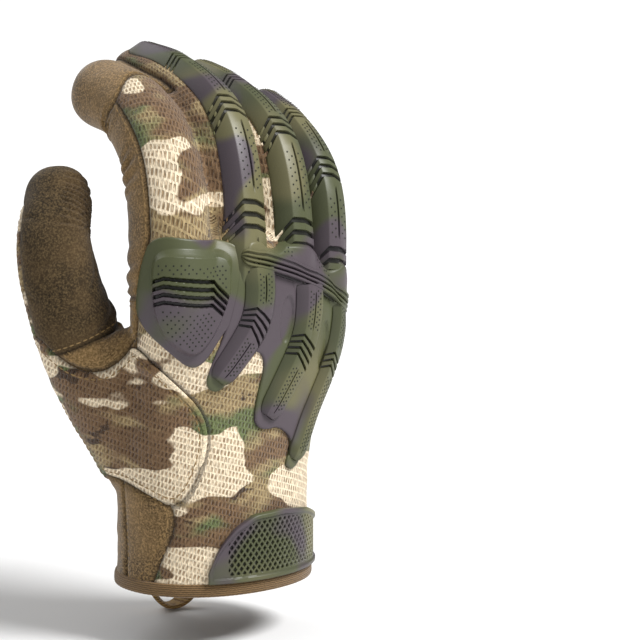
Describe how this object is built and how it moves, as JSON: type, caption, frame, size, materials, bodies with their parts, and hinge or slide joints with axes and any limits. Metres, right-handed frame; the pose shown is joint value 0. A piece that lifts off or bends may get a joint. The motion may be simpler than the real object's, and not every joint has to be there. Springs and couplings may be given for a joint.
{
  "type": "impact glove",
  "caption": "Right-hand impact work glove with moulded rubber knuckle and finger guards, suede palm, knit back and cuff strap, in its worn, curled form.",
  "frame": {"origin": "centre of the wrist opening in the plane of the hem", "axes": "+Z from the cuff to the fingers, back of the hand towards -Y, thumb towards -X, little finger towards +X"},
  "size_m": [0.1235, 0.0934, 0.22],
  "materials": {
    "knit": "camouflage mesh knit",
    "suede": "brushed synthetic suede",
    "suede_patch": "brushed synthetic suede",
    "guard_rubber": "matt moulded thermoplastic rubber",
    "binding": "woven edge binding",
    "tape": "woven webbing"
  },
  "bodies": {
    "root": {"back_knit": "knit", "thumb_knit": "knit", "palm_suede": "suede", "index_palm_side": "suede", "middle_palm_side": "suede", "ring_palm_side": "suede", "little_palm_side": "suede", "index_cap": "suede", "thumb_suede": "suede", "thumb_saddle": "suede", "wrist_suede": "suede", "index_guard": "guard_rubber", "knuckle_guard": "guard_rubber", "palm_overlay": "suede_patch", "heel_pad": "suede_patch", "thenar_pad": "suede_patch", "cuff_strap": "guard_rubber", "hem_binding": "binding", "slit_binding": "tape", "pull_loop": "tape"}
  },
  "joints": []
}
